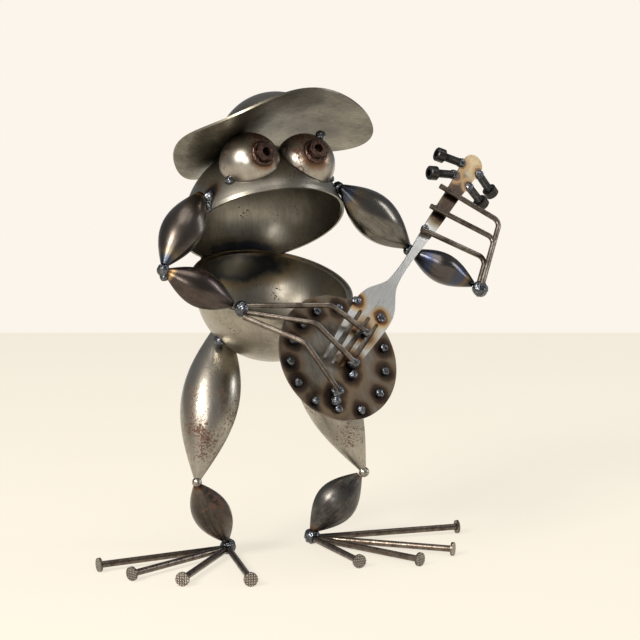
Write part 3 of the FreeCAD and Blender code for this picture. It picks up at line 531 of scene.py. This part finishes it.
DOTS = ((34, 29.7), (63, 28.3), (90, 27.6), (115, 29.2), (139, 31.8), (161, 32.6), (186, 32.5), (212, 31.0),
        (238, 32.3), (269, 30.4), (297, 29.2), (324, 30.6))
dots = [banjo(circle * math.cos(math.radians(turn)), circle * math.sin(math.radians(turn)), 0)
        for turn, circle in DOTS]
disc_beads = [banjo(1.9, -7.8, 0), banjo(-3.4, -12.0, 0), banjo(-18.8, -9.8, 0), banjo(-23.8, -12.6, 0)]
finish("banjo_drum", steel(
    "disc_steel", (0.30, 0.27, 0.22), (0.09, 0.075, 0.058), smooth=0.32, cloud=0.6, cloud_size=55,
    grain=0.55, grain_size=420, stretch=(1, 0.06, 1), turn=OUT, pits=0.35, rust=0.08,
    heats_and_painted_light=[{"points": dots, "reach": 0.0115, "Near": (0.016, 0.012, 0.010), "Middle": (0.055, 0.033, 0.02),
            "Far": (0.16, 0.115, 0.075)},
           {"points": disc_beads, "reach": 0.0125, "Near": (0.014, 0.012, 0.012),
            "Middle": (0.06, 0.035, 0.02), "Far": (0.20, 0.14, 0.085)}]))

# ---------------------------------------------------------------- banjo neck
# A table fork in satin steel, its tines welded to the disc and its handle under the left hand. It is burnt
# straw and brown at the welds, and tan at the end where the screws stand.
finish("banjo_neck_fork", steel(
    "fork_steel", (0.74, 0.72, 0.68), (0.44, 0.42, 0.385), smooth=0.24, cloud=0.4, cloud_size=60, grain=0.5,
    grain_size=600, turn=ALONG, pits=0.3,
    heats_and_painted_light=[{"points": [banjo(36, 10.6, 2), banjo(38.2, -6.6, 2)], "reach": 0.0085,
            "Near": (0.07, 0.07, 0.08), "Middle": (0.20, 0.075, 0.02), "Far": (0.60, 0.42, 0.22)},
           {"points": [banjo(158, 0, 2), banjo(168, 0, 2)], "reach": 0.020, "Near": (0.36, 0.27, 0.15),
            "Middle": (0.33, 0.24, 0.13), "Far": (0.36, 0.31, 0.22)},
           {"points": [banjo(122 + 6 * step, 0, 2) for step in range(6)], "reach": 0.013,
            "Near": (0.055, 0.035, 0.022), "Middle": (0.12, 0.075, 0.035), "Far": (0.30, 0.25, 0.17)},
           {"points": [banjo(165, 8, 1), banjo(154, 7, 1), banjo(168, -6, 1), banjo(155, -5, 1)],
            "reach": 0.0075, "Near": (0.10, 0.11, 0.13), "Middle": (0.10, 0.045, 0.02),
            "Far": (0.30, 0.19, 0.09)},
           {"points": [banjo(1, -8, 2), banjo(22, -3, 2)], "reach": 0.013, "Near": (0.02, 0.017, 0.016),
            "Middle": (0.16, 0.08, 0.035), "Far": (0.42, 0.30, 0.18)}]))

# ---------------------------------------------------------------- finger rods
# Round bar, bent cold and lacquered. It is tan-grey with dark cloudy scale and small rust specks.
# All six are cut from the same bar.
rod_steel = steel("rod_steel", (0.27, 0.235, 0.195), (0.065, 0.048, 0.038), smooth=0.23, cloud=0.85,
                  cloud_size=160, grain=0.4, grain_size=900, stretch=(1, 1, 1), pits=0.3, rust=0.30,
                  rust_size=700)
for side in ("right", "left"):
    for number in (1, 2, 3):
        finish(f"{side}_finger_rod_{number}", rod_steel)

# ---------------------------------------------------------------- toe nails
# Common wire nails in dark steel, four to a foot, their points ground and welded at the heel.
# Their heads are stamped with a waffle grid whose squares are worn bright.


def ridges(material, start, axis, pitch, first, last, deep, crossed=False, worn=None):
    """Adds ridges to a finish between two distances from start along an axis: rings, or squares if crossed.
    worn is a lighter tone for their tops."""
    tree = material.node_tree
    shader = tree.nodes["Principled BSDF"]
    turn = Vector(axis).to_track_quat("Z", "Y").inverted()
    spot = node(tree, "ShaderNodeTexCoord", (-2200, -1500))
    along = node(tree, "ShaderNodeMapping", (-1900, -1500))
    along.inputs["Rotation"].default_value = turn.to_euler()
    along.inputs["Location"].default_value = -(turn @ start)
    tree.links.new(spot.outputs["Object"], along.inputs["Vector"])
    waves = []
    for direction in ("X", "Y") if crossed else ("Z",):
        wave = node(tree, "ShaderNodeTexWave", (-1600, -1500), wave_type="BANDS", bands_direction=direction,
                    inputs={"Scale": 2 * math.pi / (20 * pitch), "Distortion": 0.0})
        tree.links.new(along.outputs[0], wave.inputs["Vector"])
        waves.append(wave.outputs["Fac"])
    raised = maths(tree, *waves, (-1400, -1500), "MINIMUM") if crossed else waves[0]
    split = node(tree, "ShaderNodeSeparateXYZ", (-1600, -1800))
    tree.links.new(along.outputs[0], split.inputs[0])
    begun = maths(tree, split.outputs["Z"], first, (-1400, -1750), "GREATER_THAN")
    ended = maths(tree, split.outputs["Z"], last, (-1400, -1900), "LESS_THAN")
    held = maths(tree, raised, maths(tree, begun, ended, (-1200, -1800)), (-1000, -1600))
    bump = node(tree, "ShaderNodeBump", (-100, -700), inputs={"Strength": 1.0, "Distance": deep})
    tree.links.new(held, bump.inputs["Height"])
    before = shader.inputs["Normal"].links[0].from_socket
    tree.links.new(before, bump.inputs["Normal"])
    tree.links.new(bump.outputs["Normal"], shader.inputs["Normal"])
    if worn:
        colour = shader.inputs["Base Color"].links[0].from_socket
        rubbed = node(tree, "ShaderNodeMix", (100, 500), data_type="RGBA", clamp_factor=True)
        tree.links.new(held, rubbed.inputs["Factor"])
        tree.links.new(colour, rubbed.inputs["A"])
        rubbed.inputs["B"].default_value = (*worn, 1)
        tree.links.new(rubbed.outputs["Result"], shader.inputs["Base Color"])


NAIL_LIFT = 4
NAIL_HEEL = {"right": frog(-28.5, 2.0, NAIL_LIFT), "left": frog(25.8, 0.3, NAIL_LIFT)}
NAIL_ENDS = {"right": [(-109.2, 2.0), (-100.2, -24.3), (-79.9, -47.8), (-46.8, -66.1)],
             "left": [(116.6, -17.4), (86.1, -61.9), (57.1, -73.0), (24.4, -60.6)]}
WAFFLE_PITCH, WAFFLE_SKIN, WAFFLE_DEEP = 0.0014, 0.0004, 0.0005
WAFFLE_BRIGHT = (0.50, 0.46, 0.41)
for side, ends in NAIL_ENDS.items():
    for number, (x, y) in enumerate(ends, start=1):
        end = frog(x, y, NAIL_LIFT)
        nail_steel = steel(f"{side}_nail_steel_{number}", (0.25, 0.205, 0.165), (0.06, 0.045, 0.035),
                           smooth=0.26, cloud=0.8, cloud_size=200, grain=0.4, stretch=(1, 1, 1), pits=0.6,
                           rust=0.28, rust_size=700)
        ridges(nail_steel, end, end - NAIL_HEEL[side], WAFFLE_PITCH, -WAFFLE_SKIN, WAFFLE_SKIN, WAFFLE_DEEP,
               crossed=True, worn=WAFFLE_BRIGHT)
        finish(f"{side}_toe_nail_{number}", nail_steel)

# ---------------------------------------------------------------- tuning screws
# Socket-head cap screws in black oxide, two to a side, their threads bare up to the head.
# Each has its tip along and across the neck, the way it runs, and how far it leans off the face.
SCREWS = [((165.0, 8.0), (-6.4, 12.7), 0), ((154.0, 7.6), (-10.6, 11.4), 0),
          ((167.8, -5.9), (1.7, -12.2), -0.48), ((155.2, -5.2), (2.8, -12.4), -0.48)]
THREAD_PITCH, THREAD_LONG, THREAD_DEEP = 0.0009, 0.0118, 0.0009
for number, ((along, across), (run, rise), lean) in enumerate(SCREWS, start=1):
    black_oxide = steel(f"black_oxide_{number}", (0.060, 0.058, 0.055), (0.022, 0.021, 0.02), smooth=0.30,
                        cloud=0.5, cloud_size=300, grain=0.3, stretch=(1, 1, 1), pits=0.2, coat=0.1)
    axis = (ALONG * run + ACROSS * rise).normalized() + OUT * lean
    ridges(black_oxide, banjo(along, across, 1), axis, THREAD_PITCH, 0.0, THREAD_LONG, THREAD_DEEP)
    finish(f"tuning_screw_{number}", black_oxide)

# ---------------------------------------------------------------- pupil nuts
# A plain hexagon nut on each eye, hole outwards, rusted dark all over.
# Their worn copies are made with the weld beads, in this finish.
nut_rust = steel("nut_rust", (0.13, 0.075, 0.058), (0.035, 0.02, 0.016), smooth=0.33, cloud=0.8,
                 cloud_size=250, grain=0.3, stretch=(1, 1, 1), pits=0.5, rust=0.34, rust_size=600)

# ---------------------------------------------------------------- weld beads
# Most joints are beads of weld metal: glossy blue-grey blobs with a rippled skin. Each bead takes the place
# of the plain one in the CAD model.
weld_metal = steel("weld_metal", (0.19, 0.205, 0.225), (0.04, 0.042, 0.048), smooth=0.17, cloud=0.9,
                   cloud_size=420, grain=0.3, grain_size=1500, stretch=(1, 1, 1), pits=0.3, rust=0.12,
                   rust_size=900, bump=0.5)
BEAD_VOXEL, BEAD_LUMP, BEAD_LUMP_SIZE = 0.00028, 0.0012, 0.0022
KNEE_LUMP = 0.0010
RING_VOXEL, RING_LUMP = 0.00022, 0.0009
NUT_VOXEL, NUT_LUMP, NUT_LUMP_SIZE = 0.00020, 0.0006, 0.0016


def lumpy_copy(name, voxel, lump, lump_size, material, sink=0.62):
    """A copy of a CAD node with its loose triangles merged, remeshed and pushed about by clouds. The higher
    sink is, the further the whole skin moves inwards."""
    bpy.ops.object.select_all(action="DESELECT")
    piece = bpy.data.objects.new(name + "_bead", nodes[name].data.copy())
    bpy.context.scene.collection.objects.link(piece)
    piece.select_set(True)
    bpy.context.view_layer.objects.active = piece
    bpy.ops.object.mode_set(mode="EDIT")
    bpy.ops.mesh.select_all(action="SELECT")
    bpy.ops.mesh.remove_doubles(threshold=0.00001)
    bpy.ops.object.mode_set(mode="OBJECT")
    remesh = piece.modifiers.new("remesh", "REMESH")
    remesh.mode = "VOXEL"
    remesh.voxel_size = voxel
    remesh.use_smooth_shade = True
    bpy.ops.object.modifier_apply(modifier="remesh")
    clouds = bpy.data.textures.new(name + "_lumps", "CLOUDS")
    clouds.noise_scale = lump_size
    push = piece.modifiers.new("push", "DISPLACE")
    push.texture = clouds
    push.texture_coords = "LOCAL"
    push.strength = lump
    push.mid_level = sink
    bpy.ops.object.modifier_apply(modifier="push")
    smooth = piece.modifiers.new("smooth", "SMOOTH")
    smooth.iterations = 1
    bpy.ops.object.modifier_apply(modifier="smooth")
    piece.data.materials.clear()
    piece.data.materials.append(material)
    bpy.ops.object.shade_smooth()
    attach(piece, "root")
    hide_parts(name)
    return piece


for name in ("neck_weld", "hip_welds", "shoulder_welds", "elbow_welds", "wrist_welds", "hat_welds",
             "eye_welds", "drum_dots", "fingertip_welds", "neck_plug_welds", "screw_welds", "fret_welds"):
    lumpy_copy(name, BEAD_VOXEL, BEAD_LUMP, BEAD_LUMP_SIZE, weld_metal)
# the heels' beads stand on the floor, so their skin stays above it
lumpy_copy("ankle_welds", BEAD_VOXEL, BEAD_LUMP, BEAD_LUMP_SIZE, weld_metal, sink=0.78)
# the knees are pinched flat rather than beaded, and their steel is painted lighter as a painted highlight on
# the pinched necks
pinched_highlight_steel = steel("pinched_highlight_steel", (0.52, 0.49, 0.43), (0.16, 0.14, 0.115), smooth=0.20, cloud=0.8,
                      cloud_size=220, grain=0.3, pits=0.5, rust=0.2)
lumpy_copy("knee_welds", BEAD_VOXEL, KNEE_LUMP, BEAD_LUMP_SIZE, pinched_highlight_steel)
# the nuts have rusted into their weld rings
lumpy_copy("nut_welds", RING_VOXEL, RING_LUMP, NUT_LUMP_SIZE, nut_rust)
for side in ("right", "left"):
    lumpy_copy(f"pupil_nut_{side}", NUT_VOXEL, NUT_LUMP, NUT_LUMP_SIZE, nut_rust)
